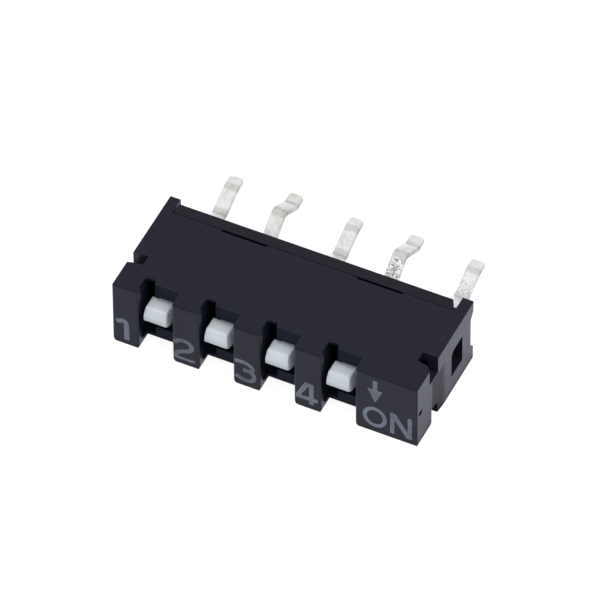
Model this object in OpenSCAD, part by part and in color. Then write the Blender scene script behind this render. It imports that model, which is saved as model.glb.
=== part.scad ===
// Four-way single-row slide switch: a moulded cover snapped over a terminal carrier,
// four sliders with their contact springs, and five kinked terminals on one pitch.
// It lies on its large side. X runs along the row, -Y is the slotted front, +Y is the
// terminal side and +Z is up. The origin is the middle of the side it lies on, at the
// middle of the body's length and depth.

/* [Body] */
// Length of the cover along the row
body_length = 12.7; // [12.6:0.05:13.2]
// Depth of the body, from the slotted front to its mounting feet
body_depth = 5.05; // [5:0.05:5.5]
// Thickness of the body, from one large side to the other
body_thickness = 3.15; // [3.1:0.05:3.3]
// Thickness of the two large walls
side_wall = 0.4; // [0.35:0.01:0.42]
// Thickness of the end walls
end_wall = 0.45; // [0.4:0.01:0.5]
// Thickness of the front wall behind the slots
front_wall = 0.35; // [0.3:0.01:0.4]
// Radius along the lower front edge
front_edge_r = 0.08; // [0.05:0.01:0.35]

/* [Slots] */
// Distance between two slots, and between two terminals
pitch = 2.54; // [2.54:0.01:2.56]
// Width of each front slot
slot_width = 1.42; // [1.3:0.02:1.5]
// Depth of each front slot, down to the front wall
slot_depth = 0.7; // [0.6:0.01:0.75]
// Distance from a terminal's centre to its slot's centre, along the row
slot_offset = 0.54; // [0.5:0.01:0.58]
// Height of the lower edge of the slider's window
sill_height = 0.75; // [0.65:0.01:0.78]
// Height of the upper edge of the slider's window
lintel_height = 2.45; // [2.3:0.01:2.5]

/* [Sliders] */
// Width of a slider's knob
knob_width = 0.99; // [0.8:0.01:1.04]
// Height of the knob's upper face when the switch is off
knob_top = 2.22; // [2.1:0.01:2.25]
// Height of the knob's neck, where it passes the window
neck_height = 0.72; // [0.65:0.01:0.75]
// Distance that the knob stands back from the front of the teeth
knob_setback = 0.03; // [0.02:0.01:0.12]
// Travel of a slider from off to on
travel = 0.7; // [0.6:0.01:0.7]

/* [Terminals] */
// Width of a terminal
terminal_width = 0.56; // [0.4:0.01:0.6]
// Thickness of the terminal sheet
terminal_sheet = 0.2; // [0.18:0.01:0.26]
// Length of a terminal beyond the mounting feet
terminal_reach = 3.2; // [3:0.01:3.5]
// Height of the terminals where they leave the body
terminal_height = 1.73; // [1.65:0.01:1.75]
// How far a terminal's kink stands out of line
kink_rise = 0.66; // [0.3:0.01:0.7]

/* [Contact springs] */
// Thickness of the spring sheet
spring_sheet = 0.1; // [0.08:0.01:0.12]
// Width of a contact spring
spring_width = 0.5; // [0.4:0.01:0.55]
// Gap left between a spring and the fixed contacts it wipes
contact_gap = 0.03; // [0.02:0.01:0.05]

/* [Hidden] */
ways = 4;

plastic_black = "#2a2b31";
carrier_black = "#1f2024";
knob_white = "#dfe3e6";
spring_metal = "#c9a86a";
tin = "#d8d9d6";

arc_steps = 6;
past = 1;
half_length = body_length / 2;
inner_half = half_length - end_wall;
wall_back = slot_depth + front_wall;
ceiling = body_thickness - side_wall;

// Terminals stand on the pitch about the middle; the last one is the common
function terminal_x(way) = (way - (ways + 2) / 2) * pitch;
function slot_x(way) = terminal_x(way) + slot_offset;
common_x = terminal_x(ways + 1);

// Moulded edges
edge_r = 0.07;
tooth_corner_r = 0.28;
far_corner_r = 0.16;
end_corner_r = 0.05;
sill_edge_r = 0.3;

// Relief beside each knob, stepped into the tooth, cut into the upper wall's edge
// and open to the inside
relief_left = 0.79;
relief_right = 0.34;
relief_front = 0.25;
relief_depth = 0.17;
relief_r = 0.1;
relief_bottom = 0.36;
relief_groove = 0.5;
relief_lip = 0.12;

// Corner notches that let the end walls flex
notch_inset = 0.64;
notch_front = 1.26;
notch_back = 1.85;
upper_notch = 0.8;
lower_notch = 0.55;
lower_notch_shift = 0.08;

// Bevel down the end block's rear edge, from its full width below to nothing above
bevel_reach = 0.19;
bevel_depth = 0.03;
bevel_full = 0.55;
bevel_top = 0.9;
bevel_lap = 0.02;

// Latch windows, and the base's lugs that catch in them
latch_front = 3.05;
latch_back = 4.02;
latch_bottom = 0.87;
latch_top = 2.2;
lug_catch = 0.15;
lug_front = 3.2;
lug_back = 3.94;
lug_bottom = 1.05;
lug_top = 1.95;

// Shallow ramp moulded into each end, from the upper notch down
ramp_depth = 0.13;
ramp_end = 2.5;
ramp_top = 2.3;

// Scar where the mould's gate was broken off, on the end block
gate_width = 0.2;
gate_height = 1.53;
gate_depth = 0.09;
gate_front = 0.15;
gate_back = 0.44;

// Back of the cover: feet at the corners, and an edge that stops at the base's flange
foot_back = 4.76;
flange_front = 4.27;
vent_depth = 0.09;
vent_half = 0.94;
vent_x = 2.83;

// Base
fit_gap = 0.05;
base_front = 3;
base_back = 4.8;
base_half = inner_half - fit_gap;
flange_sink = 0.03;
flange_taper = 0.24;

// Shallow well round each terminal in the base's back
well_half_width = 0.5;
well_half_height = 0.42;
well_depth = 0.12;
well_r = 0.15;

// Knob: its front and one side lean in towards a soft ridge, and its upper face is level
knob_shift = 0.025;
knob_ridge = 0.26;
knob_draft = 0.12;
knob_bend_height = 0.34;
knob_back = 0.85;
neck_left = 0.22;
neck_right = 0.42;

// Slider carriage behind the front wall
carriage_front = wall_back + fit_gap;
carriage_back = 1.75;
carriage_left = 0.36;
carriage_right = 0.95;
carriage_top = ceiling - fit_gap;
carriage_bottom = side_wall + fit_gap + travel;
partition = 0.3;
partition_back = base_front - fit_gap;
neck_bottom = knob_top - neck_height;

// Contact springs sit between two lips on the carriage's back
spring_height = (carriage_top + carriage_bottom) / 2 + 0.12;
lip_reach = 0.2;
lip_thickness = 0.16;
spring_seat_half = 0.26;
key_width = 0.14;
key_reach = 0.14;

// Fixed contacts in the base's front face, and the strip that joins the common ones
contact_bottom = 0.65;
strip_height = 2.34;
strip_front = 3.55;
strip_back = 4.1;
bend_r = 0.2;
kink_r = 0.3;
terminal_tip = body_depth + terminal_reach;
kink_start = terminal_tip - 2.5;
kink_peak = terminal_tip - 1.6;
kink_end = terminal_tip - 0.52;
tip_drop = 0.2;
tip_chamfer = 0.07;

function flat(p) = [p[0], p[1]];

// Points of a round corner of radius r at b, between the edges from a and to c
function corner(a, b, c, r) =
    r == 0 ? [b] :
    let (
        u = (a - b) / norm(a - b),
        v = (c - b) / norm(c - b),
        half = acos(u * v) / 2,
        centre = b + (u + v) / norm(u + v) * r / sin(half),
        first = b + u * r / tan(half) - centre,
        last = b + v * r / tan(half) - centre,
        start = atan2(first[1], first[0]),
        turn = (atan2(last[1], last[0]) - start + 540) % 360 - 180
    )
    [for (k = [0:arc_steps]) let (a = start + turn * k / arc_steps) centre + r * [cos(a), sin(a)]];

// Closed outline through [x, y, corner radius] points
function rounded(points) =
    let (n = len(points))
    [for (i = [0:n - 1])
        each corner(flat(points[(i + n - 1) % n]), flat(points[i]), flat(points[(i + 1) % n]), points[i][2])];

// Centre line of a bent strip through [x, y, bend radius] points
function bent(points) =
    let (last = len(points) - 1)
    [
        flat(points[0]),
        for (i = [1:last - 1])
            each corner(flat(points[i - 1]), flat(points[i]), flat(points[i + 1]), points[i][2]),
        flat(points[last])
    ];

// A line at distance d to the left of a path
function beside(path, d) =
    let (last = len(path) - 1)
    [for (i = [0:last])
        let (way = path[min(i + 1, last)] - path[max(i - 1, 0)])
        path[i] + d * [-way[1], way[0]] / norm(way)];

function reversed(list) = [for (i = [len(list) - 1:-1:0]) list[i]];

// Outline of a sheet of the given thickness bent along a path
function sheet(path, thickness) =
    concat(beside(path, thickness / 2), reversed(beside(path, -thickness / 2)));

// Moves a shape drawn from the slotted front into the part's frame
module from_front() {
    translate([0, -body_depth / 2, 0]) children();
}

// Extrudes a side view, drawn as [y, z], along the row about its middle
module along_row(width) {
    rotate([90, 0, 90]) linear_extrude(width, center = true) children();
}

// Extrudes a front view, drawn as [x, z], from one depth to another
module through_depth(front, back) {
    translate([0, back, 0]) rotate([90, 0, 0]) linear_extrude(back - front) children();
}

module box(low, high) {
    translate(low) cube(high - low);
}

module both_ends() {
    children();
    mirror([1, 0, 0]) children();
}

module cover_block() {
    side_view = [
        [0, 0, front_edge_r], [body_depth, 0, edge_r], [body_depth, 0.62, edge_r], [foot_back, 0.92, 0],
        [foot_back, 2.3, 0], [body_depth, 2.75, edge_r], [body_depth, body_thickness, edge_r],
        [0, body_thickness, edge_r]
    ];
    front_view = [
        [-half_length, 0, tooth_corner_r], [half_length, 0, end_corner_r],
        [half_length, body_thickness, edge_r], [-half_length, body_thickness, edge_r]
    ];
    plan = [
        [-half_length, 0, edge_r], [half_length, 0, edge_r],
        [half_length, body_depth, edge_r], [-half_length, body_depth, edge_r]
    ];
    intersection() {
        along_row(body_length) polygon(rounded(side_view));
        through_depth(0, body_depth) polygon(rounded(front_view));
        linear_extrude(body_thickness) polygon(rounded(plan));
    }
}

// Rounds the upright edge of a slot's mouth
module mouth_edge() {
    half = slot_width / 2;
    arc = corner([-half - past, 0], [-half, 0], [-half, past], edge_r);
    translate([0, 0, -past]) linear_extrude(body_thickness + 2 * past)
        polygon(concat(arc, [[past - half, edge_r], [past - half, -edge_r], [-half - edge_r, -edge_r]]));
}

module relief() {
    over = body_thickness + past;
    translate([0, 0, relief_bottom]) linear_extrude(over - relief_bottom) polygon(rounded([
        [-relief_left, relief_front, 0], [-relief_right, relief_front, 0],
        [-relief_right, slot_depth + relief_depth, relief_r],
        [-relief_left, slot_depth + relief_depth, relief_r]
    ]));
    box([-relief_left, slot_depth - relief_r, side_wall],
        [-relief_right, slot_depth + relief_groove, body_thickness - relief_lip]);
}

// Everything cut away for one slider, about its slot's middle
module slot_cut() {
    half = slot_width / 2;
    over = body_thickness + past;
    slot_front = [
        [-half - past, -past, 0], [half + past, -past, 0], [half + past, 0, 0],
        [half, 0, tooth_corner_r], [half, over, 0], [-half, over, 0],
        [-half, 0, far_corner_r], [-half - past, 0, 0]
    ];
    slot_side = [
        [-past, -past, 0], [wall_back + past, -past, 0], [wall_back + past, 0, 0],
        [slot_depth, 0, sill_edge_r], [slot_depth, over, 0], [-past, over, 0]
    ];
    intersection() {
        through_depth(-past, wall_back) polygon(rounded(slot_front));
        along_row(2 * (slot_width + past)) polygon(rounded(slot_side));
    }
    mouth_edge();
    mirror([1, 0, 0]) mouth_edge();
    box([-0.6, slot_depth - past / 2, sill_height], [0.6, wall_back + past / 4, lintel_height]);
    relief();
}

// Notch in one end's upper edge; its front leans by the given amount where it meets the end
module upper_notch_cut(lean) {
    inner = half_length - notch_inset;
    outer = half_length + 0.1;
    translate([0, notch_front, body_thickness - upper_notch]) linear_extrude(upper_notch + past) polygon([
        [inner, 0.12], [half_length - 0.2, 0.06], [outer, -lean],
        [outer, notch_back - notch_front], [inner, notch_back - notch_front]
    ]);
}

module upper_notches() {
    upper_notch_cut(0.28);
    mirror([1, 0, 0]) upper_notch_cut(0.03);
}

module lower_notches() {
    both_ends() box([half_length - notch_inset, notch_front + lower_notch_shift, -past],
        [half_length + past, notch_back + lower_notch_shift, lower_notch]);
}

module rear_bevels() {
    front = notch_front + lower_notch_shift - bevel_reach;
    back = notch_front + lower_notch_shift + bevel_lap;
    both_ends() intersection() {
        linear_extrude(2 * bevel_top, center = true) polygon([
            [half_length, front], [half_length + past, front],
            [half_length + past, back], [half_length - bevel_depth, back]
        ]);
        along_row(body_length + past) polygon([
            [front, -past], [back, -past], [back, bevel_top], [front, bevel_full]
        ]);
    }
}

module end_ramps() {
    start = notch_front + lower_notch_shift;
    both_ends() translate([0, 0, -past]) linear_extrude(ramp_top + past) polygon([
        [half_length - ramp_depth, start], [half_length + past, start],
        [half_length + past, ramp_end], [half_length, ramp_end]
    ]);
}

module gate_scar() {
    through_depth(gate_front, gate_back) polygon([
        [half_length - gate_depth, gate_height], [half_length + past, gate_height],
        [half_length + past, gate_height + gate_width], [half_length - gate_depth, gate_height + gate_width]
    ]);
}

module latch_window() {
    along_row(body_length + past) polygon(rounded([
        [latch_front, latch_bottom, 0], [latch_back, latch_bottom, 0.12], [latch_back, latch_top, 0],
        [latch_front + 0.2, latch_top, 0], [latch_front, latch_top - 0.14, 0]
    ]));
}

module cover() {
    color(plastic_black) from_front() {
        difference() {
            cover_block();
            box([-inner_half, wall_back, side_wall], [inner_half, body_depth + past, ceiling]);
            box([-inner_half, flange_front, -past], [inner_half, body_depth + past, body_thickness + past]);
            for (x = [-vent_x, vent_x])
                box([x - vent_half, flange_front - vent_depth, -past],
                    [x + vent_half, body_depth, body_thickness + past]);
            for (way = [1:ways]) translate([slot_x(way), 0, 0]) slot_cut();
            latch_window();
            gate_scar();
            upper_notches();
            lower_notches();
            rear_bevels();
            end_ramps();
        }
        for (way = [1:ways]) translate([slot_x(way) + pitch / 2, 0, 0])
            box([-partition / 2, slot_depth + front_wall / 2, side_wall / 2],
                [partition / 2, partition_back, body_thickness - side_wall / 2]);
    }
}

module base_block() {
    box([-base_half, base_front, side_wall + fit_gap], [base_half, base_back, ceiling - fit_gap]);
    translate([0, 0, flange_sink]) linear_extrude(body_thickness - 2 * flange_sink) polygon([
        [-base_half, flange_front + fit_gap], [base_half, flange_front + fit_gap],
        [base_half - flange_taper, base_back], [-base_half, base_back]
    ]);
    both_ends() translate([0, 0, lug_bottom]) linear_extrude(lug_top - lug_bottom) polygon([
        [base_half - fit_gap, lug_front], [inner_half + lug_catch, lug_back - 0.15],
        [inner_half + lug_catch, lug_back], [base_half - fit_gap, lug_back]
    ]);
}

module terminal_well(way) {
    x = terminal_x(way);
    low = terminal_height - well_half_height;
    high = terminal_height + well_half_height;
    through_depth(base_back - well_depth, base_back + past) polygon(rounded([
        [x - well_half_width, low, well_r], [x + well_half_width, low, well_r],
        [x + well_half_width, high, well_r], [x - well_half_width, high, well_r]
    ]));
}

module base() {
    color(carrier_black) from_front() difference() {
        base_block();
        for (way = [1:ways + 1]) terminal_well(way);
        for (way = [1:ways]) terminal_metal(way);
        common_metal();
    }
}

// The part of a terminal outside the base: even ones are kinked up and come back into line,
// odd ones are kinked down and end a little lower
function kinked_tail(way) =
    let (
        rise = way % 2 == 0 ? kink_rise : -kink_rise,
        tip_height = way % 2 == 0 ? terminal_height : terminal_height - tip_drop
    )
    [
        [kink_start, terminal_height, kink_r], [kink_peak, terminal_height + rise, kink_r],
        [kink_end, tip_height, kink_r], [terminal_tip, tip_height, 0]
    ];

contact_y = base_front + terminal_sheet / 2;

module strip_along(points) {
    along_row(terminal_width) polygon(sheet(bent(points), terminal_sheet));
}

module chamfered_tip() {
    half = terminal_width / 2;
    intersection() {
        children();
        translate([0, 0, -past]) linear_extrude(body_thickness + 2 * past) polygon([
            [-half, 0], [half, 0], [half, terminal_tip - tip_chamfer], [half - tip_chamfer, terminal_tip],
            [tip_chamfer - half, terminal_tip], [-half, terminal_tip - tip_chamfer]
        ]);
    }
}

module terminal_metal(way) {
    translate([terminal_x(way), 0, 0]) chamfered_tip() strip_along(concat(
        [[contact_y, contact_bottom, 0], [contact_y, terminal_height, bend_r]],
        kinked_tail(way)
    ));
}

module common_metal() {
    for (way = [1:ways]) translate([slot_x(way) + slot_offset, 0, 0])
        strip_along([
            [contact_y, contact_bottom, 0], [contact_y, strip_height, bend_r], [strip_back, strip_height, 0]
        ]);
    box([slot_x(1) + slot_offset - terminal_width / 2, strip_front, strip_height - terminal_sheet / 2],
        [common_x + terminal_width / 2, strip_back, strip_height + terminal_sheet / 2]);
    translate([common_x, 0, 0]) chamfered_tip() strip_along(concat(
        [
            [strip_front, strip_height, 0], [strip_back, strip_height, bend_r],
            [strip_back + 0.5, terminal_height, bend_r]
        ],
        kinked_tail(ways + 1)
    ));
}

module terminal(way) {
    color(tin) from_front() terminal_metal(way);
}

module common_terminal() {
    color(tin) from_front() common_metal();
}

module knob() {
    left = -knob_width / 2 - knob_shift;
    right = knob_width / 2 - knob_shift;
    bottom = neck_bottom + 0.2;
    side_view = [
        [knob_setback, bottom, 0.04], [knob_setback + 0.02, knob_top - knob_bend_height, 0.4],
        [knob_ridge, knob_top, 0.14], [knob_back, knob_top, 0], [knob_back, neck_bottom, 0],
        [slot_depth - 0.1, neck_bottom, 0]
    ];
    front_view = [
        [left, neck_bottom - past, 0], [right, neck_bottom - past, 0], [right, bottom, 0],
        [right - knob_draft, knob_top, 0.08], [left, knob_top, 0.03]
    ];
    plan = [[left, 0, 0.06], [right, 0, 0.15], [right, knob_back, 0], [left, knob_back, 0]];
    intersection() {
        along_row(2 * knob_width) polygon(rounded(side_view));
        through_depth(0, knob_back) polygon(rounded(front_view));
        translate([0, knob_setback, 0]) linear_extrude(body_thickness) polygon(rounded(plan));
    }
    box([-neck_left, knob_back - fit_gap, neck_bottom], [neck_right, carriage_front + fit_gap, knob_top]);
}

// Plate behind the front wall, with two lips and a key that seat the contact spring
module carriage() {
    outline = [
        [-carriage_left, carriage_bottom, 0.12], [carriage_right, carriage_bottom, 0.12],
        [carriage_right, carriage_top, 0.12], [-carriage_left, carriage_top, 0.12]
    ];
    seat_low = spring_height - spring_seat_half;
    seat_high = spring_height + spring_seat_half;
    through_depth(carriage_front, carriage_back) polygon(rounded(outline));
    for (z = [seat_low - lip_thickness, seat_high])
        box([-carriage_left, carriage_back - fit_gap, z],
            [carriage_left, carriage_back + lip_reach, z + lip_thickness]);
    box([-key_width / 2, carriage_back - fit_gap, seat_low - fit_gap],
        [key_width / 2, carriage_back + key_reach, seat_high + fit_gap]);
}

module slider(way) {
    color(knob_white) from_front() translate([slot_x(way), 0, 0]) {
        knob();
        carriage();
    }
}

// A bent strip: its middle is folded over the carriage's key, its two arms reach back to wipe
// a terminal's contact and the common one, and their ends are turned up as skids
module contact_spring(way) {
    seat = carriage_back + spring_sheet / 2;
    wipe = base_front - contact_gap - spring_sheet / 2;
    fold = key_width / 2 + fit_gap / 2 + spring_sheet / 2;
    left_arm = [
        [-slot_offset - 0.32, wipe - 0.24, 0], [-slot_offset - 0.1, wipe, 0.1],
        [-slot_offset + 0.1, wipe, 0.1], [-0.34, seat, 0.1],
        [-fold, seat, 0.08], [-fold, seat + key_reach + fit_gap, 0.08]
    ];
    right_arm = reversed([for (p = left_arm) [-p[0], p[1], p[2]]]);
    centre_line = bent(concat(left_arm, right_arm));
    color(spring_metal) from_front()
        translate([slot_x(way), 0, spring_height - spring_width / 2])
            linear_extrude(spring_width) polygon(sheet(centre_line, spring_sheet));
}

cover();
base();
common_terminal();
slider(1);  // slider_1
slider(2);  // slider_2
slider(3);  // slider_3
slider(4);  // slider_4
contact_spring(1);  // contact_spring_1
contact_spring(2);  // contact_spring_2
contact_spring(3);  // contact_spring_3
contact_spring(4);  // contact_spring_4
terminal(1);  // terminal_1
terminal(2);  // terminal_2
terminal(3);  // terminal_3
terminal(4);  // terminal_4
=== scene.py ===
"""Looks for a single-row slide switch: printed marks, moulded plastic, tinned terminals and a plain stage."""

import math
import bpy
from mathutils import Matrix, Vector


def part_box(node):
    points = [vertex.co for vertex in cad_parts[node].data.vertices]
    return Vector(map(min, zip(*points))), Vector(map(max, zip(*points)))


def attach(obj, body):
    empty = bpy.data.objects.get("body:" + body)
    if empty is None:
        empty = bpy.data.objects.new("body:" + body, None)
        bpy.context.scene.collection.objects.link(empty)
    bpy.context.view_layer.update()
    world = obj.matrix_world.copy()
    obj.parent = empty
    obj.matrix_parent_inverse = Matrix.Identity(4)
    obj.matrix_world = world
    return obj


bl_info = {
    "name": "Single-Row Slide Switch",
    "version": (1, 0, 0),
    "blender": (4, 5, 0),
    "location": "3D Viewport > Sidebar > Slide Switch",
    "description": "Prints, finishes and stages a single-row slide switch on its packed solids",
    "category": "Object",
}

import bpy
from mathutils import Vector

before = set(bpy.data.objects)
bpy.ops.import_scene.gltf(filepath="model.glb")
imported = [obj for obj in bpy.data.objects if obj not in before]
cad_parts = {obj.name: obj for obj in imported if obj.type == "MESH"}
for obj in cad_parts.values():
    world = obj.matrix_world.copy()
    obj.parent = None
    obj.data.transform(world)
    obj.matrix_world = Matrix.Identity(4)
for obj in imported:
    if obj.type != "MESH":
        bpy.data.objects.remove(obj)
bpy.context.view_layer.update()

MM = 0.001
COVER_LOW, COVER_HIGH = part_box("cover")
FRONT_FACE = COVER_LOW.y
TERMINAL_LOW, TERMINAL_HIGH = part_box("terminal_1")
WAYS = sum(name.startswith("slider_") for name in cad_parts)
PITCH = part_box("terminal_2")[0].x - TERMINAL_LOW.x

# Middle of the first slot, which lies to one side of the first terminal's middle
FIRST_SLOT = (TERMINAL_LOW.x + TERMINAL_HIGH.x) / 2 + 0.54 * MM

# Height of the marks' outlines in their own units
OUTLINE_HEIGHT = 1.14

# Where the marks' middles stand: a figure from its terminal's middle, the rest in from the cover's right end
FIGURE_SHIFTS = (-0.83 * MM, -0.81 * MM, -0.8 * MM, -0.75 * MM)
LETTER_O_INSET = 1.745 * MM
LETTER_N_INSET = 0.66 * MM
ARROW_INSET = 1.74 * MM

# Points of a mark that are closer than this are one point
WELD_DISTANCE = 0.0002 * MM

# What the colour is multiplied by on the cover's sheltered faces: painted light on the tooth sides, slot
# walls and end hollows, and painted shade on the end ramps
TOOTH_SIDE_PAINTED_LIGHT = (2.2, 2.3, 1.5, 1)
SLOT_WALL_PAINTED_LIGHT = (1.1, 1.4, 1.05, 1)
END_HOLLOW_PAINTED_LIGHT = (2.8, 2.7, 1.55, 1)
RAMP_PAINTED_SHADE = (0.2, 0.62, 0.62, 1)

# How much of the glossy skin the cover's open faces have
SKIN = 0.2

# Places along a terminal, in mm in from its tip: the fold, the peak of the kink and the kink's foot
FOLD = 0.52
PEAK = 1.6
FOOT = 2.5

# What the tin's colour is multiplied by: in clouds, as painted shade on far slopes, a little past the fold,
# as painted shade on bends, along the edges and as painted shade in creases; and the colour of its painted
# glints
CLOUDED_TINT = (0.88, 0.885, 0.82, 1)
FAR_SLOPE_PAINTED_SHADE = (0.7, 0.705, 0.63, 1)
TIP_TINT = (0.93, 0.93, 0.93, 1)
BEND_PAINTED_SHADE = (0.72, 0.725, 0.7, 1)
EDGE_DARKENING_TINT = (0.6, 0.595, 0.565, 1)
CREASE_PAINTED_SHADE = (0.3, 0.3, 0.31, 1)
PAINTED_GLINT_COLOUR = (0.97, 0.97, 0.96, 1)


# ---------------------------------------------------------------- settings


class SlideSwitchPrintSettings(bpy.types.PropertyGroup):
    """Sizes and places of the marks printed on the front faces."""

    figure_height: bpy.props.FloatProperty(
        name="Figure height", description="Height of the printed figures and letters",
        default=1.14 * MM, min=0.4 * MM, max=1.4 * MM, precision=5, unit="LENGTH")
    figure_middle: bpy.props.FloatProperty(
        name="Figure middle", description="Height of the middle of the printed line above the lower face",
        default=0.865 * MM, min=0.7 * MM, max=2.4 * MM, precision=5, unit="LENGTH")
    arrow_length: bpy.props.FloatProperty(
        name="Arrow length", description="Length of the printed arrow that points towards on",
        default=1.2 * MM, min=0.4 * MM, max=1.4 * MM, precision=5, unit="LENGTH")
    arrow_middle: bpy.props.FloatProperty(
        name="Arrow middle", description="Height of the middle of the arrow above the lower face",
        default=2.28 * MM, min=1.5 * MM, max=2.6 * MM, precision=5, unit="LENGTH")
    stroke_width: bpy.props.FloatProperty(
        name="Stroke width", description="Width of the figures' strokes",
        default=0.19 * MM, min=0.08 * MM, max=0.22 * MM, precision=5, unit="LENGTH")
    ink_thickness: bpy.props.FloatProperty(
        name="Ink thickness", description="How far the dry ink stands off the moulding",
        default=0.006 * MM, min=0.002 * MM, max=0.02 * MM, precision=6, unit="LENGTH")


class SlideSwitchFinishSettings(bpy.types.PropertyGroup):
    """Colours of the finished surfaces."""

    cover_colour: bpy.props.FloatVectorProperty(
        name="Cover", description="Colour of the moulded cover", subtype="COLOR", size=3, min=0, max=1,
        default=(0.0056, 0.0062, 0.0165))
    base_colour: bpy.props.FloatVectorProperty(
        name="Base", description="Colour of the moulded terminal base", subtype="COLOR", size=3, min=0, max=1,
        default=(0.0052, 0.0055, 0.012))
    knob_colour: bpy.props.FloatVectorProperty(
        name="Knobs", description="Colour of the sliders", subtype="COLOR", size=3, min=0, max=1,
        default=(0.71, 0.755, 0.8))
    ink_colour: bpy.props.FloatVectorProperty(
        name="Ink", description="Colour of the printed marks", subtype="COLOR", size=3, min=0, max=1,
        default=(0.2, 0.218, 0.275))
    tin_colour: bpy.props.FloatVectorProperty(
        name="Terminals", description="Colour of the tinned terminals", subtype="COLOR", size=3, min=0, max=1,
        default=(0.83, 0.83, 0.83))
    spring_colour: bpy.props.FloatVectorProperty(
        name="Springs", description="Colour of the contact springs", subtype="COLOR", size=3, min=0, max=1,
        default=(0.8, 0.62, 0.36))


class SlideSwitchStageSettings(bpy.types.PropertyGroup):
    """The table, the sky, the lamp and the camera."""

    floor_size: bpy.props.FloatProperty(
        name="Floor size", description="Length of the table top's sides",
        default=1.2, min=0.1, max=5, unit="LENGTH")
    floor_colour: bpy.props.FloatVectorProperty(
        name="Floor", description="Colour of the table top", subtype="COLOR", size=3, min=0, max=1,
        default=(0.38, 0.38, 0.38))
    floor_glow: bpy.props.FloatProperty(
        name="Floor glow", description="Brightness added to the table top where it is seen or mirrored",
        default=0.935, min=0, max=1)
    seen_tint: bpy.props.FloatVectorProperty(
        name="Seen tint", description="Tint of the glow where the table top is seen",
        subtype="COLOR", size=3, min=0, max=1, default=(0.91, 0.91, 0.91))
    mirrored_tint: bpy.props.FloatVectorProperty(
        name="Mirrored tint", description="Tint of the glow where the table top is mirrored",
        subtype="COLOR", size=3, min=0, max=1, default=(0.856, 0.873, 1))
    sky_colour: bpy.props.FloatVectorProperty(
        name="Sky", description="Colour of the even light from all round",
        subtype="COLOR", size=3, min=0, max=1, default=(0.95, 0.975, 1))
    sky_strength: bpy.props.FloatProperty(
        name="Sky strength", description="Even light from all round", default=0.5, min=0, max=2)
    lamp_place: bpy.props.FloatVectorProperty(
        name="Lamp place", description="Where the large soft lamp hangs", subtype="TRANSLATION", size=3,
        default=(0.02, -0.06, 0.185))
    lamp_size: bpy.props.FloatProperty(
        name="Lamp size", description="Diameter of the large soft lamp",
        default=0.29, min=0.01, max=2, unit="LENGTH")
    lamp_power: bpy.props.FloatProperty(
        name="Lamp power", description="Power of the large soft lamp",
        default=0.3, min=0, max=5, unit="POWER")
    camera_place: bpy.props.FloatVectorProperty(
        name="Camera place", description="Where the camera stands", subtype="TRANSLATION", size=3,
        default=(0.110379, -0.228176, 0.280834))
    camera_turn: bpy.props.FloatVectorProperty(
        name="Camera turn", description="Turn of the camera about X, Y and Z", subtype="EULER", size=3,
        default=(math.radians(42.3446), math.radians(0.2439), math.radians(25.486)))
    camera_lens: bpy.props.FloatProperty(
        name="Lens", description="Focal length of the camera's lens, in millimetres",
        default=600, min=50, max=2000)


# ---------------------------------------------------------------- nodes
# A mix node's sockets share their names between kinds, so those of a colour mix go by number.

MIX_FACTOR = 0
MIX_FIRST = 6
MIX_SECOND = 7
MIX_RESULT = 2


def feed(tree, socket, value):
    """Gives a socket a value, or links it to another node's socket."""
    if isinstance(value, bpy.types.NodeSocket):
        tree.links.new(value, socket)
    else:
        socket.default_value = value


def add_node(tree, kind, place, inputs=None, **settings):
    """A node at a place in the tree; its inputs, by name or number, take values or other nodes' sockets."""
    made = tree.nodes.new(kind)
    made.location = place
    for name, value in settings.items():
        setattr(made, name, value)
    for key, value in (inputs or {}).items():
        feed(tree, made.inputs[key], value)
    return made


def math_node(tree, operation, place, *values):
    """The result of a math node; each value is a number or a socket."""
    return add_node(tree, "ShaderNodeMath", place, dict(enumerate(values)), operation=operation).outputs[0]


def chained(tree, operation, place, values):
    """The result of one operation carried through all the values."""
    result = values[0]
    for step, value in enumerate(values[1:]):
        result = math_node(tree, operation, (place[0] + 150 * step, place[1]), result, value)
    return result


def product(tree, place, *values):
    """The product of all the values."""
    return chained(tree, "MULTIPLY", place, values)


def largest(tree, place, *values):
    """The largest of the values."""
    return chained(tree, "MAXIMUM", place, values)


def rise(tree, value, place, start, end, low=0.0, high=1.0):
    """A smooth step from low to high as the value goes from start to end."""
    inputs = {"Value": value, "From Min": start, "From Max": end, "To Min": low, "To Max": high}
    step = add_node(tree, "ShaderNodeMapRange", place, inputs, interpolation_type="SMOOTHSTEP")
    return step.outputs["Result"]


def fall(tree, value, place, start, end):
    """A smooth step from 1 down to 0 as the value goes from start to end."""
    return rise(tree, value, place, start, end, 1.0, 0.0)


def region(tree, place, *steps):
    """The product of smooth steps: each is rise or fall, what it follows, and its start and end in mm."""
    masks = []
    for row, (step, length, start, end) in enumerate(steps):
        masks.append(step(tree, length, (place[0] - 200, place[1] - 150 * row), start * MM, end * MM))
    return product(tree, place, *masks)


def noise_node(tree, vector, place, scale, detail=3, roughness=0.6, distortion=0.0):
    """A cloud of values round one half."""
    inputs = {
        "Vector": vector, "Scale": scale, "Detail": detail, "Roughness": roughness, "Distortion": distortion}
    return add_node(tree, "ShaderNodeTexNoise", place, inputs).outputs["Fac"]


def object_place(tree, place):
    """Where a point lies on its object, as a vector and as the outputs X, Y and Z."""
    vector = add_node(tree, "ShaderNodeTexCoord", place).outputs["Object"]
    apart = add_node(tree, "ShaderNodeSeparateXYZ", (place[0] + 200, place[1]), {"Vector": vector})
    return vector, apart.outputs


def mixed(tree, kind, place, factor, first, second):
    """A colour mix; the factor and the colours are values or sockets."""
    inputs = {MIX_FACTOR: factor, MIX_FIRST: first, MIX_SECOND: second}
    mix = add_node(tree, "ShaderNodeMix", place, inputs, data_type="RGBA", blend_type=kind)
    return mix.outputs[MIX_RESULT]


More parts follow.
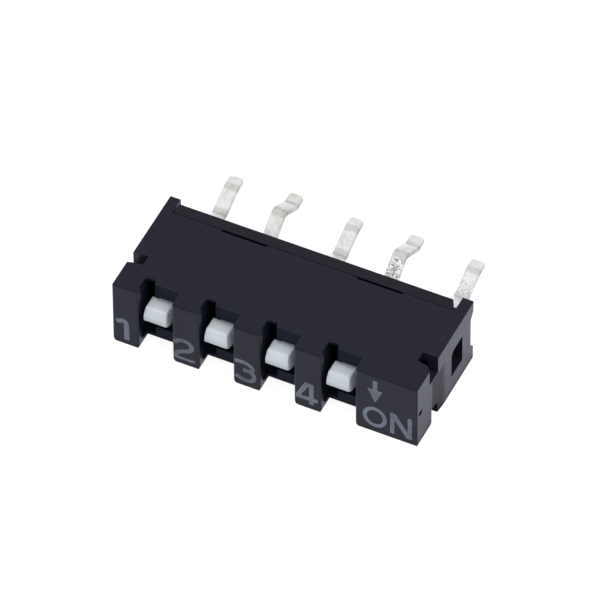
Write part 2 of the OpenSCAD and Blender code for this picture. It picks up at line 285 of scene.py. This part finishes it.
def tinted(tree, tone, place, *tints):
    """A tone multiplied by each tint as far as the tint's mask says."""
    for step, (mask, tint) in enumerate(tints):
        tone = mixed(tree, "MULTIPLY", (place[0] + 150 * step, place[1]), mask, tone, tint)
    return tone


# ---------------------------------------------------------------- shared surfaces


def new_surface_group(name):
    """An empty surface group with its sockets, and the sockets inside it to read from and to feed."""
    group = bpy.data.node_groups.new(name, "ShaderNodeTree")
    for label, kind, default in (
            ("Colour", "NodeSocketColor", (0.5, 0.5, 0.5, 1)), ("Unevenness", "NodeSocketFloat", 0.1),
            ("Fine Scale", "NodeSocketFloat", 10000), ("Roughness", "NodeSocketFloat", 0.4),
            ("Roughness Spread", "NodeSocketFloat", 0.1)):
        socket = group.interface.new_socket(name=label, in_out="INPUT", socket_type=kind)
        socket.default_value = default
    for label, kind in (
            ("Colour", "NodeSocketColor"), ("Roughness", "NodeSocketFloat"), ("Height", "NodeSocketFloat")):
        group.interface.new_socket(name=label, in_out="OUTPUT", socket_type=kind)
    source = add_node(group, "NodeGroupInput", (-900, -300))
    target = add_node(group, "NodeGroupOutput", (400, 0))
    return group, source.outputs, target.inputs


def close_surface_group(group, source, target, swing, fine):
    """Ends a surface group: swing lifts or dims the colour, and fine varies the roughness and the height."""
    lift = math_node(group, "MULTIPLY_ADD", (0, 300), swing, source["Unevenness"], 1.0)
    shade = add_node(
        group, "ShaderNodeVectorMath", (200, 300), {0: source["Colour"], "Scale": lift}, operation="SCALE")
    centred = math_node(group, "SUBTRACT", (0, 0), fine, 0.5)
    feed(group, target["Colour"], shade.outputs["Vector"])
    feed(group, target["Roughness"], math_node(
        group, "MULTIPLY_ADD", (200, 0), centred, source["Roughness Spread"], source["Roughness"]))
    feed(group, target["Height"], fine)
    return group


def moulded_grain_group():
    """Uneven tone and fine relief of a plastic that was moulded against a spark-eroded tool."""
    if "Moulded Grain" in bpy.data.node_groups:
        return bpy.data.node_groups["Moulded Grain"]
    group, source, target = new_surface_group("Moulded Grain")
    place = add_node(group, "ShaderNodeTexCoord", (-900, 300)).outputs["Object"]
    flow = noise_node(group, place, (-650, 300), 700, detail=4)
    swing = add_node(
        group, "ShaderNodeMapRange", (-400, 300),
        {"Value": flow, "From Min": 0.3, "From Max": 0.7, "To Min": -1, "To Max": 1}).outputs["Result"]
    grain = noise_node(group, place, (-650, 0), source["Fine Scale"], roughness=0.7)
    return close_surface_group(group, source, target, swing, grain)


def rolled_strip_group():
    """Fine streaks that rolling and plating leave along a metal strip, and soft clouds across it."""
    if "Rolled Strip" in bpy.data.node_groups:
        return bpy.data.node_groups["Rolled Strip"]
    group, source, target = new_surface_group("Rolled Strip")
    place = add_node(group, "ShaderNodeTexCoord", (-1100, 300)).outputs["Object"]
    cloud = noise_node(group, place, (-650, 300), 1400, detail=4)
    swing = math_node(group, "SUBTRACT", (-400, 300), cloud, 0.5)
    drawn_out = add_node(group, "ShaderNodeMapping", (-900, 0), {"Vector": place, "Scale": (1, 0.06, 1)})
    streak = noise_node(group, drawn_out.outputs["Vector"], (-650, 0), source["Fine Scale"])
    return close_surface_group(group, source, target, swing, streak)


def new_material(name):
    """A node material, and its Principled shader's inputs."""
    material = bpy.data.materials.new(name)
    material.use_nodes = True
    return material, material.node_tree.nodes["Principled BSDF"].inputs


def colour4(values):
    """A colour with its fourth value, which is always 1."""
    return (values[0], values[1], values[2], 1)


def surfaced(name, group, colour, roughness, spread, relief, unevenness, scale):
    """A material whose tone, roughness and relief come from a shared surface group."""
    material, shader = new_material(name)
    tree = material.node_tree
    inputs = {
        "Colour": colour4(colour), "Unevenness": unevenness, "Fine Scale": scale,
        "Roughness": roughness, "Roughness Spread": spread}
    surface = add_node(tree, "ShaderNodeGroup", (-500, 200), inputs, node_tree=group, name="Surface")
    bump = add_node(
        tree, "ShaderNodeBump", (-250, -100),
        {"Strength": 0.5, "Distance": relief, "Height": surface.outputs["Height"]}, name="Relief")
    feed(tree, shader["Base Color"], surface.outputs["Colour"])
    feed(tree, shader["Roughness"], surface.outputs["Roughness"])
    feed(tree, shader["Normal"], bump.outputs["Normal"])
    return material, shader


def dress(node_name, material):
    """Gives a solid one material in place of its own."""
    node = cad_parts[node_name]
    node.data.materials.clear()
    node.data.materials.append(material)


# ---------------------------------------------------------------- outlines


def smoothed(points, steps=6):
    """A smooth line through all the points."""
    line = []
    for i in range(len(points) - 1):
        before, start, end, after = (
            Vector(points[max(0, min(k, len(points) - 1))]) for k in (i - 1, i, i + 1, i + 2))
        for step in range(steps):
            t = step / steps
            line.append(0.5 * (
                2 * start + (end - before) * t + (2 * before - 5 * start + 4 * end - after) * t * t
                + (3 * start - before - 3 * end + after) * t ** 3))
    line.append(Vector(points[-1]))
    return line


def sides_of(line, width, mitre_limit=0.6):
    """The left and the right edge of a stroke drawn along a line, mitred where the line turns."""
    left, right = [], []
    for i, point in enumerate(line):
        way_in = (point - line[i - 1]).normalized() if i > 0 else (line[1] - point).normalized()
        way_out = (line[i + 1] - point).normalized() if i < len(line) - 1 else way_in
        lean = (way_in + way_out).normalized()
        reach = width / 2 / max(mitre_limit, lean.dot(way_in))
        across = Vector((-lean.y, lean.x)) * reach
        left.append(point + across)
        right.append(point - across)
    return left, right


def stroke(line, width):
    """The closed outline of a stroke drawn along a line."""
    left, right = sides_of(line, width)
    return left + right[::-1]


def ring(half_width, half_height, count=48):
    """An ellipse as a closed outline."""
    turns = [2 * math.pi * k / count for k in range(count)]
    return [(half_width * math.cos(turn), half_height * math.sin(turn)) for turn in turns]


def softened(outline, radius=0.025):
    """Rounds the corners of a closed outline a little, as ink does."""
    loop = [Vector(point) for point in outline]
    shortest_side = 2.5 * radius
    soft = []
    for i, point in enumerate(loop):
        before = loop[i - 1] - point
        after = loop[(i + 1) % len(loop)] - point
        if min(before.length, after.length) < shortest_side:
            soft.append(point)
            continue
        start = point + before.normalized() * radius
        end = point + after.normalized() * radius
        soft += [start, point * 0.5 + (start + end) * 0.25, end]
    return soft


# ---------------------------------------------------------------- figures
# Each is a list of closed outlines about the mark's middle, OUTLINE_HEIGHT high.


def figure_one(width):
    stem = smoothed([
        (-0.27, 0.33), (-0.1, 0.4), (0.05, 0.44), (0.13, 0.36), (0.15, 0.18), (0.15, -0.2), (0.15, -0.58)])
    return [stroke(stem, width * 1.12)]


def figure_two(width):
    bowl = smoothed([
        (-0.41, 0.27), (-0.28, 0.41), (-0.09, 0.49), (0.14, 0.46), (0.31, 0.32), (0.31, 0.11),
        (0.14, -0.03), (-0.06, -0.11), (-0.26, -0.23), (-0.35, -0.43)])
    left, right = sides_of(bowl, width)
    foot_top = -0.57 + width * 0.65
    foot = [(-0.42, -0.57), (0.46, -0.57), (0.46, foot_top), (-0.22, foot_top)]
    return [right + foot + left[::-1]]


def figure_three(width):
    upper = smoothed([
        (-0.42, 0.45), (-0.24, 0.48), (-0.02, 0.48), (0.19, 0.41), (0.32, 0.26), (0.27, 0.12),
        (0.12, 0.06), (-0.08, 0.06)])
    lower = smoothed([
        (-0.08, 0.05), (0.14, 0.05), (0.32, -0.03), (0.38, -0.19), (0.33, -0.37), (0.14, -0.47),
        (-0.12, -0.46), (-0.38, -0.34)])
    upper_out, upper_in = sides_of(upper, width)
    lower_out, lower_in = sides_of(lower, width)
    upper_out = [point for point in upper_out if point.y > 0.07]
    lower_out = [point for point in lower_out if point.y < 0.03]
    return [upper_out + lower_out + lower_in[::-1] + upper_in[::-1]]


def figure_four(width):
    half = width / 2
    left, right = 0.18 - half, 0.18 + half
    bottom, top = -0.29 - half, -0.29 + half
    outside = [
        (-0.09, 0.57), (-0.46, top), (-0.46, bottom), (left, bottom), (left, -0.57), (right, -0.57),
        (right, bottom), (0.44, bottom), (0.44, top), (right, top), (right, 0.57)]
    return [outside, [(left, 0.44), (-0.26, top), (left, top)]]


def letter_o(width):
    thickness = width * 0.88
    return [ring(0.5, 0.54), ring(0.5 - thickness, 0.54 - thickness)]


def letter_n(width):
    stem = width * 0.92
    return [[
        (-0.45, -0.57), (-0.45 + stem, -0.57), (-0.45 + stem, 0.22), (0.23, -0.57), (0.45, -0.57),
        (0.45, 0.57), (0.45 - stem, 0.57), (0.45 - stem, -0.24), (-0.23, 0.57), (-0.45, 0.57)]]


def arrow_down(width):
    half = width / 2
    return [[
        (-half, 0.57), (-half, 0.09), (-0.3, 0.11), (0, -0.57), (0.3, 0.11), (half, 0.09), (half, 0.57)]]


FIGURES = (figure_one, figure_two, figure_three, figure_four)


# ---------------------------------------------------------------- printed marks


def deselect_all():
    """Leaves edit mode and selects nothing."""
    if bpy.context.mode != "OBJECT":
        bpy.ops.object.mode_set(mode="OBJECT")
    bpy.ops.object.select_all(action="DESELECT")


def settle(piece, name, body):
    """Applies the piece's place, names it, and lets it ride on a body."""
    deselect_all()
    piece.select_set(True)
    bpy.context.view_layer.objects.active = piece
    bpy.ops.object.transform_apply(location=True, rotation=True, scale=True)
    piece.name = name
    piece.data.name = name
    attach(piece, body)


def ink_material(finish):
    """Matt ink, printed unevenly."""
    if "Print Ink" in bpy.data.materials:
        return bpy.data.materials["Print Ink"]
    material, shader = surfaced(
        "Print Ink", moulded_grain_group(), finish.ink_colour,
        roughness=0.55, spread=0.15, relief=0.0015 * MM, unevenness=0.5, scale=9000)
    shader["Specular IOR Level"].default_value = 0.3
    return material


def print_mark(context, name, outlines, height, x, z):
    """Fills a mark's outlines with a thin film of ink on the front faces."""
    settings = context.scene.slide_switch_print
    deselect_all()
    bpy.ops.curve.primitive_bezier_circle_add(radius=height, location=(0, 0, 0))
    mark = context.object
    mark.data.splines.clear()
    mark.data.dimensions = "2D"
    mark.data.fill_mode = "BOTH"
    mark.data.extrude = settings.ink_thickness / 2
    for outline in outlines:
        loop = softened(outline)
        spline = mark.data.splines.new("POLY")
        spline.points.add(len(loop) - 1)
        for point, place in zip(spline.points, loop):
            point.co = (place.x * height / OUTLINE_HEIGHT, place.y * height / OUTLINE_HEIGHT, 0, 1)
        spline.use_cyclic_u = True
    bpy.ops.object.convert(target="MESH")
    mark = context.object
    bpy.ops.object.mode_set(mode="EDIT")
    bpy.ops.mesh.select_all(action="SELECT")
    bpy.ops.mesh.remove_doubles(threshold=WELD_DISTANCE)
    bpy.ops.mesh.normals_make_consistent(inside=False)
    bpy.ops.object.mode_set(mode="OBJECT")
    mark.location = (x, FRONT_FACE - settings.ink_thickness / 2, z)
    mark.rotation_euler = (math.pi / 2, 0, 0)
    mark.data.materials.append(ink_material(context.scene.slide_switch_finish))
    settle(mark, name, "housing")


class SLIDESWITCH_OT_print_figures(bpy.types.Operator):
    """Prints the way numbers on the teeth and the word ON on the end block"""

    bl_idname = "slide_switch.print_figures"
    bl_label = "Print Figures"

    def execute(self, context):
        settings = context.scene.slide_switch_print
        height, middle = settings.figure_height, settings.figure_middle
        width = settings.stroke_width / height * OUTLINE_HEIGHT
        for way, figure, shift in zip(range(1, WAYS + 1), FIGURES, FIGURE_SHIFTS, strict=True):
            low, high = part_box(f"terminal_{way}")
            print_mark(context, f"printed_{way}", figure(width), height, (low.x + high.x) / 2 + shift, middle)
        print_mark(context, "printed_o", letter_o(width), height, COVER_HIGH.x - LETTER_O_INSET, middle)
        print_mark(context, "printed_n", letter_n(width), height, COVER_HIGH.x - LETTER_N_INSET, middle)
        return {"FINISHED"}


class SLIDESWITCH_OT_print_arrow(bpy.types.Operator):
    """Prints the arrow that points towards on"""

    bl_idname = "slide_switch.print_arrow"
    bl_label = "Print Arrow"

    def execute(self, context):
        settings = context.scene.slide_switch_print
        width = settings.stroke_width / settings.arrow_length * OUTLINE_HEIGHT
        print_mark(context, "printed_arrow", arrow_down(width), settings.arrow_length,
                   COVER_HIGH.x - ARROW_INSET, settings.arrow_middle)
        return {"FINISHED"}


# ---------------------------------------------------------------- plastics


def black_plastic(name, colour, roughness, specular):
    """Black plastic as the mould leaves it."""
    material, shader = surfaced(
        name, moulded_grain_group(), colour,
        roughness=roughness, spread=0.14, relief=0.002 * MM, unevenness=0.12, scale=12000)
    shader["Specular IOR Level"].default_value = specular
    return material, shader


def cover_masks(tree, axes):
    """Masks of the cover's sheltered faces, where light and shade are painted: tooth sides, slot walls, end
    hollows and end ramps.
    """
    # Lengths in from the nearer end, back from the teeth's front faces and down from the top
    from_middle = math_node(tree, "ABSOLUTE", (-1900, -400), axes["X"])
    inset = math_node(tree, "SUBTRACT", (-1700, -400), COVER_HIGH.x, from_middle)
    depth = math_node(tree, "SUBTRACT", (-1700, -700), axes["Y"], FRONT_FACE)
    drop = math_node(tree, "SUBTRACT", (-1700, -1000), COVER_HIGH.z, axes["Z"])

    behind_fronts = rise(tree, depth, (-1500, -400), 0.1 * MM, 0.2 * MM)
    behind_teeth = rise(tree, depth, (-1500, -550), 0.6 * MM, 0.66 * MM)
    along_teeth = math_node(tree, "SUBTRACT", (-1300, -400), behind_fronts, behind_teeth)
    under_top = rise(tree, drop, (-1500, -700), 0.02 * MM, 0.05 * MM)
    in_slots = product(tree, (-1300, -700), under_top, rise(tree, inset, (-1500, -850), 0.16 * MM, 0.22 * MM))
    tooth_sides = product(tree, (-1100, -400), in_slots, along_teeth)
    before_latches = fall(tree, depth, (-1500, -1000), 1.4 * MM, 1.6 * MM)
    slot_walls = product(tree, (-1100, -700), in_slots, behind_teeth, before_latches)

    ramps = region(
        tree, (-1300, -1200), (fall, inset, 0.13, 0.15), (rise, inset, 0.002, 0.03),
        (rise, depth, 1.28, 1.3), (fall, depth, 2.52, 2.55), (fall, axes["Z"], 2.32, 2.35))

    # The end hollows are all that lies inside the cover's outline and in none of the other masks
    inside = region(tree, (-1300, -2000), (rise, inset, 0.01, 0.03), (fall, depth, 4, 4.1))
    named = largest(tree, (-700, -1200), slot_walls, tooth_sides, ramps)
    unnamed = math_node(tree, "SUBTRACT", (-400, -1200), 1.0, named)
    end_hollows = product(tree, (-700, -2000), inside, under_top, behind_fronts, unnamed)
    return tooth_sides, slot_walls, end_hollows, ramps


def cover_material(finish):
    """Black plastic with an unevenly worn skin, which the slots' walls and the end ramps lack; painted light
    lightens its tooth sides, slot walls and end hollows, and painted shade darkens its end ramps.
    """
    material, shader = black_plastic("Cover Plastic", finish.cover_colour, roughness=0.3, specular=0.09)
    tree = material.node_tree
    place, axes = object_place(tree, (-2300, -400))
    tooth_sides, slot_walls, end_hollows, ramps = cover_masks(tree, axes)
    surface = tree.nodes["Surface"].outputs
    # Painted light on the tooth sides, slot walls and end hollows, and painted shade on the end ramps
    tone = tinted(
        tree, surface["Colour"], (-500, 500), (tooth_sides, TOOTH_SIDE_PAINTED_LIGHT), (slot_walls, SLOT_WALL_PAINTED_LIGHT),
        (end_hollows, END_HOLLOW_PAINTED_LIGHT), (ramps, RAMP_PAINTED_SHADE))
    feed(tree, shader["Base Color"], tone)

    bare = largest(tree, (-500, -500), slot_walls, ramps)
    uneven = math_node(tree, "MULTIPLY_ADD", (-500, -700), surface["Roughness"], 0.2, SKIN - 0.06)
    skin = math_node(tree, "MULTIPLY_ADD", (-300, -600), bare, -SKIN, uneven)
    patches = noise_node(tree, place, (-500, -900), 2200, detail=2, roughness=0.5, distortion=0.4)
    worn = math_node(tree, "MULTIPLY_ADD", (-300, -900), patches, 0.5, 0.75)
    feed(tree, shader["Coat Weight"], product(tree, (-100, -700), skin, worn))
    shader["Coat Roughness"].default_value = 0.26
    roughness = math_node(tree, "MULTIPLY_ADD", (-100, -400), slot_walls, 0.22, surface["Roughness"])
    feed(tree, shader["Roughness"], roughness)
    return material


class SLIDESWITCH_OT_finish_mouldings(bpy.types.Operator):
    """Finishes the cover and the terminal base as black moulded plastic"""

    bl_idname = "slide_switch.finish_mouldings"
    bl_label = "Finish Mouldings"

    def execute(self, context):
        finish = context.scene.slide_switch_finish
        dress("cover", cover_material(finish))
        dress("base", black_plastic("Base Plastic", finish.base_colour, roughness=0.36, specular=0.18)[0])
        return {"FINISHED"}


class SLIDESWITCH_OT_finish_sliders(bpy.types.Operator):
    """Finishes the sliders as white moulded plastic"""

    bl_idname = "slide_switch.finish_sliders"
    bl_label = "Finish Sliders"

    def execute(self, context):
        finish = context.scene.slide_switch_finish
        material, shader = surfaced(
            "Knob Plastic", moulded_grain_group(), finish.knob_colour,
            roughness=0.38, spread=0.12, relief=0.0015 * MM, unevenness=0.04, scale=14000)
        shader["Subsurface Weight"].default_value = 0.6
        shader["Subsurface Radius"].default_value = (1, 0.97, 0.94)
        shader["Subsurface Scale"].default_value = 0.4 * MM
        for way in range(1, WAYS + 1):
            dress(f"slider_{way}", material)
        return {"FINISHED"}


# ---------------------------------------------------------------- metals


def metal(name, colour, **surface):
    """A bare metal strip, with the values of its surface."""
    material, shader = surfaced(name, rolled_strip_group(), colour, **surface)
    shader["Metallic"].default_value = 1
    return material, shader


def bend_bands(tree, from_tip):
    """Bands where the strip was bent, at the fold and at the peak."""
    bands = []
    for row, (centre, reach) in enumerate(((FOLD, 0.19), (PEAK, 0.3))):
        offset = math_node(tree, "SUBTRACT", (-1400, 200 - 160 * row), from_tip, centre * MM)
        away = math_node(tree, "ABSOLUTE", (-1200, 200 - 160 * row), offset)
        bands.append(fall(tree, away, (-1000, 200 - 160 * row), 0.35 * reach * MM, reach * MM))
    return largest(tree, (-800, 200), *bands)


def darker_edge_lines(tree, x, sway):
    """Ragged lines along each strip's two edges, where the tin is made darker."""
    half_width = (TERMINAL_HIGH.x - TERMINAL_LOW.x) / 2
    across = math_node(tree, "PINGPONG", (-2000, -500), x, PITCH / 2)
    past_edge = math_node(tree, "SUBTRACT", (-1800, -500), across, half_width)
    frayed = math_node(tree, "MULTIPLY_ADD", (-1600, -500), sway, 0.08, past_edge)
    return region(tree, (-1200, -500), (rise, frayed, -0.03, 0.005))


def wrinkles(tree, place):
    """A twisted cloud, drawn out along the strip's width."""
    squeezed = add_node(tree, "ShaderNodeMapping", (-2200, -1200), {"Vector": place, "Scale": (1, 1.7, 1.7)})
    return noise_node(
        tree, squeezed.outputs["Vector"], (-2000, -1200), 6500, detail=2, roughness=0.45, distortion=1.8)


def tin_material(finish):
    """Tinned strip: clouded, with painted shade on its bends and the raised terminals' far slopes, creased at
    its kink with painted shade in the creases and painted glints beside them, and darker along its edges.
    """
    material, shader = metal(
        "Terminal Tin", finish.tin_colour,
        roughness=0.3, spread=0.25, relief=0.002 * MM, unevenness=0.3, scale=9000)
    tree = material.node_tree
    surface = tree.nodes["Surface"].outputs
    place, axes = object_place(tree, (-2600, 0))
    patches = noise_node(tree, place, (-2000, 600), 2600, detail=2, roughness=0.5, distortion=0.6)
    patched = rise(tree, patches, (-1800, 600), 0.46, 0.58)
    ragged = noise_node(tree, place, (-2200, 300), 5200)
    sway = math_node(tree, "MULTIPLY_ADD", (-2000, 300), ragged, 0.34 * MM, -0.17 * MM)
    along = math_node(tree, "ADD", (-1800, 300), axes["Y"], sway)
    from_tip = math_node(tree, "SUBTRACT", (-1600, 300), TERMINAL_HIGH.y, along)

    # Grows from the left terminals to the right ones: clouds fade along it, and creases and painted glints
    # grow
    towards_right = rise(tree, axes["X"], (-1400, -700), -1.25 * PITCH, 1.05 * PITCH)
    alternate = math_node(tree, "PINGPONG", (-1600, -700), axes["X"], PITCH)
    raised = math_node(tree, "DIVIDE", (-1400, -850), alternate, PITCH)
    level = math_node(tree, "SUBTRACT", (-1200, -850), 1.0, raised)
    near_slope = region(
        tree, (-1000, -1000),
        (fall, from_tip, FOOT + 0.1, FOOT + 0.5), (rise, from_tip, PEAK + 0.12, PEAK + 0.28))
    far_slope = region(
        tree, (-1000, -1400),
        (fall, from_tip, PEAK - 0.2, PEAK), (rise, from_tip, FOLD + 0.1, FOLD + 0.5))
    far_level = product(tree, (-800, -1400), far_slope, level)
    far_raised = product(tree, (-800, -1600), far_slope, raised)

    wrinkled = wrinkles(tree, place)
    strain = math_node(tree, "MULTIPLY_ADD", (-1000, -850), raised, 0.7, 0.3)
    stretched = product(tree, (-800, -1000), near_slope, strain)
    marked = math_node(tree, "MULTIPLY_ADD", (-600, -1000), far_level, 0.35, stretched)
    # Creases, dented in the relief and darkened by painted shade
    creases = product(tree, (-400, -1000), marked, towards_right, rise(tree, wrinkled, (-1800, -1200), 0.48, 0.6))
    # Painted glints between the creases on the kink's slopes
    glinting_slopes = largest(tree, (-600, -1200), far_level, near_slope)
    glints = product(tree, (-400, -1200), glinting_slopes, towards_right, fall(tree, wrinkled, (-1800, -1400), 0.4, 0.5))

    clouds_fading_right = math_node(tree, "MULTIPLY_ADD", (-1300, 700), towards_right, -0.6, 0.95)
    clouded = product(tree, (-1100, 700), patched, clouds_fading_right)
    uneven = math_node(tree, "MULTIPLY_ADD", (-1300, 500), patched, 0.2, 0.8)
    # Painted shade on the raised terminals' far slopes, a little patchy
    painted_slope_shade = product(tree, (-1100, 500), far_raised, uneven)
    tip = region(tree, (-1000, 900), (fall, from_tip, FOLD - 0.1, FOLD))
    bends = bend_bands(tree, from_tip)
    # Painted shade on the bends, which are also made rougher
    painted_bend_shade = product(tree, (-800, 500), bends, 0.7)
    dark_edges = product(tree, (-800, 350), darker_edge_lines(tree, axes["X"], sway), 0.9)
    painted_glints = product(tree, (-200, 500), glints, 0.8)
    tone = tinted(
        tree, surface["Colour"], (-900, 700),
        (clouded, CLOUDED_TINT), (painted_slope_shade, FAR_SLOPE_PAINTED_SHADE), (tip, TIP_TINT),
        (painted_bend_shade, BEND_PAINTED_SHADE), (dark_edges, EDGE_DARKENING_TINT), (creases, CREASE_PAINTED_SHADE))
    feed(tree, shader["Base Color"], mixed(tree, "MIX", (0, 700), painted_glints, tone, PAINTED_GLINT_COLOUR))
    roughness = math_node(tree, "MULTIPLY_ADD", (-300, 200), bends, 0.15, surface["Roughness"])
    feed(tree, shader["Roughness"], roughness)
    height = math_node(tree, "MULTIPLY_ADD", (-450, -300), creases, -3.0, surface["Height"])
    feed(tree, tree.nodes["Relief"].inputs["Height"], height)
    return material


class SLIDESWITCH_OT_finish_metal(bpy.types.Operator):
    """Finishes the terminals as tinned strip and the contact springs as copper alloy"""

    bl_idname = "slide_switch.finish_metal"
    bl_label = "Finish Metal"

    def execute(self, context):
        finish = context.scene.slide_switch_finish
        tin = tin_material(finish)
        spring = metal(
            "Spring Alloy", finish.spring_colour,
            roughness=0.28, spread=0.2, relief=0.001 * MM, unevenness=0.1, scale=12000)[0]
        for way in range(1, WAYS + 1):
            dress(f"terminal_{way}", tin)
            dress(f"contact_spring_{way}", spring)
        dress("common_terminal", tin)
        return {"FINISHED"}


# ---------------------------------------------------------------- stage


def floor_outside_painted_shadow(tree):
    """A mask of where the table top's mirrored glow stays: round the part and in between its teeth. Its lack
    under the part is a painted shadow, and its dimming alongside the part near its ends is painted shade.
    """
    axes = object_place(tree, (-1900, -300))[1]
    middle = (COVER_LOW.y + COVER_HIGH.y) / 2
    off_x = math_node(tree, "ABSOLUTE", (-1500, -300), axes["X"])
    past_ends = math_node(tree, "SUBTRACT", (-1300, -300), off_x, COVER_HIGH.x)
    from_middle = math_node(tree, "SUBTRACT", (-1700, -500), axes["Y"], middle)
    off_y = math_node(tree, "ABSOLUTE", (-1500, -500), from_middle)
    past_faces = math_node(tree, "SUBTRACT", (-1300, -500), off_y, COVER_HIGH.y - middle)
    past_either = largest(tree, (-1100, -300), past_ends, past_faces)
    dimmed_at_ends = largest(
        tree, (-700, -100), rise(tree, past_ends, (-900, -100), 0.4 * MM, 0.8 * MM, 0.8, 1.0),
        rise(tree, past_faces, (-900, 100), 0, 0.1 * MM))
    outside = product(tree, (-500, -300), dimmed_at_ends, rise(tree, past_either, (-900, -300), 0, 0.1 * MM))

    from_first = math_node(tree, "SUBTRACT", (-1500, -800), axes["X"], FIRST_SLOT)
    from_slot = math_node(tree, "PINGPONG", (-1300, -800), from_first, PITCH / 2)
    depth = math_node(tree, "SUBTRACT", (-1300, -1000), axes["Y"], FRONT_FACE)
    from_right = math_node(tree, "SUBTRACT", (-1300, -1200), COVER_HIGH.x, axes["X"])
    between_teeth = region(
        tree, (-700, -800),
        (fall, from_slot, 0.64, 0.7), (fall, depth, 0.55, 0.65), (rise, from_right, 2.4, 2.5))
    return largest(tree, (-300, -500), outside, between_teeth)


def lay_table(stage):
    """A pale table top that glows where it is seen, and where it is mirrored outside the part's footprint,
    with a painted shadow in what it mirrors under the part and painted shade near its ends.
    """
    bpy.ops.mesh.primitive_plane_add(size=stage.floor_size, location=(0, 0, -0.01 * MM))
    floor = bpy.context.object
    floor.name = "table_top"
    material, shader = new_material("Table Top")
    tree = material.node_tree
    shader["Base Color"].default_value = colour4(stage.floor_colour)
    shader["Roughness"].default_value = 0.9
    shader["Specular IOR Level"].default_value = 0
    rays = add_node(tree, "ShaderNodeLightPath", (-900, 300)).outputs
    seen = rays["Is Camera Ray"]
    mirrored = largest(tree, (-700, 200), rays["Is Glossy Ray"], rays["Is Transmission Ray"])
    # Mirrored glow with a painted shadow under the part and painted shade near its ends
    lit = largest(tree, (-100, 0), seen, product(tree, (-300, 0), mirrored, floor_outside_painted_shadow(tree)))
    tint = mixed(tree, "MIX", (-300, 300), seen, colour4(stage.mirrored_tint), colour4(stage.seen_tint))
    feed(tree, shader["Emission Color"], tint)
    feed(tree, shader["Emission Strength"], product(tree, (50, 0), lit, stage.floor_glow))
    floor.data.materials.append(material)


def light_sky(scene, stage):
    """An even light from all round that is plain white wherever the sky itself is seen or mirrored."""
    world = bpy.data.worlds.new("Even Sky")
    scene.world = world
    world.use_nodes = True
    tree = world.node_tree
    tree.nodes.clear()
    rays = add_node(tree, "ShaderNodeLightPath", (-600, 300)).outputs
    mirrored = largest(tree, (-400, 300), rays["Is Glossy Ray"], rays["Is Transmission Ray"])
    seen = largest(tree, (-200, 300), rays["Is Camera Ray"], mirrored)
    light = add_node(
        tree, "ShaderNodeBackground", (0, 100),
        {"Color": colour4(stage.sky_colour), "Strength": stage.sky_strength})
    white = add_node(tree, "ShaderNodeBackground", (0, -100), {"Color": (1, 1, 1, 1)})
    sky = add_node(tree, "ShaderNodeMixShader", (200, 0), {0: seen, 1: light.outputs[0], 2: white.outputs[0]})
    add_node(tree, "ShaderNodeOutputWorld", (400, 0), {"Surface": sky.outputs[0]})


def hang_lamp(stage):
    """One large soft lamp, aimed at the middle of the part."""
    bpy.ops.object.light_add(type="AREA", location=stage.lamp_place)
    lamp = bpy.context.object
    lamp.name = "front_softbox"
    lamp.data.shape = "DISK"
    lamp.data.size = stage.lamp_size
    lamp.data.energy = stage.lamp_power
    lamp.visible_glossy = False
    aim = Vector((0, 0, 1.5 * MM)) - lamp.location
    lamp.rotation_euler = aim.to_track_quat("-Z", "Y").to_euler()


def stand_camera(scene, stage):
    """The camera, in the place and with the turn and lens that the settings give."""
    bpy.ops.object.camera_add(location=stage.camera_place, rotation=stage.camera_turn)
    camera = bpy.context.object
    camera.name = "camera"
    camera.data.lens = stage.camera_lens
    camera.data.sensor_width = 36
    camera.data.clip_start = 0.01
    camera.data.clip_end = 10
    scene.camera = camera


class SLIDESWITCH_OT_set_stage(bpy.types.Operator):
    """Sets the table, the even sky, the soft lamp and the camera"""

    bl_idname = "slide_switch.set_stage"
    bl_label = "Set Stage"

    def execute(self, context):
        stage = context.scene.slide_switch_stage
        deselect_all()
        lay_table(stage)
        light_sky(context.scene, stage)
        hang_lamp(stage)
        stand_camera(context.scene, stage)
        context.scene.view_settings.view_transform = "Standard"
        return {"FINISHED"}


# ---------------------------------------------------------------- panel and start


class SLIDESWITCH_PT_panel(bpy.types.Panel):
    """Lists the pieces, the finishes and the stage"""

    bl_idname = "SLIDESWITCH_PT_panel"
    bl_label = "Slide Switch"
    bl_space_type = "VIEW_3D"
    bl_region_type = "UI"
    bl_category = "Slide Switch"

    def draw(self, context):
        for operator in OPERATORS:
            self.layout.operator(operator.bl_idname)


SETTINGS = {
    "slide_switch_print": SlideSwitchPrintSettings,
    "slide_switch_finish": SlideSwitchFinishSettings,
    "slide_switch_stage": SlideSwitchStageSettings,
}
OPERATORS = (
    SLIDESWITCH_OT_finish_mouldings, SLIDESWITCH_OT_finish_sliders, SLIDESWITCH_OT_finish_metal,
    SLIDESWITCH_OT_print_figures, SLIDESWITCH_OT_print_arrow, SLIDESWITCH_OT_set_stage,
)


def register():
    for group in SETTINGS.values():
        bpy.utils.register_class(group)
    for name, group in SETTINGS.items():
        setattr(bpy.types.Scene, name, bpy.props.PointerProperty(type=group))
    for operator in OPERATORS:
        bpy.utils.register_class(operator)
    bpy.utils.register_class(SLIDESWITCH_PT_panel)


def unregister():
    bpy.utils.unregister_class(SLIDESWITCH_PT_panel)
    for operator in reversed(OPERATORS):
        bpy.utils.unregister_class(operator)
    for name, group in SETTINGS.items():
        delattr(bpy.types.Scene, name)
        bpy.utils.unregister_class(group)


def main():
    register()
    bpy.ops.slide_switch.finish_mouldings()
    bpy.ops.slide_switch.finish_sliders()
    bpy.ops.slide_switch.finish_metal()
    bpy.ops.slide_switch.print_figures()
    bpy.ops.slide_switch.print_arrow()
    bpy.ops.slide_switch.set_stage()


if __name__ == "__main__":
    main()
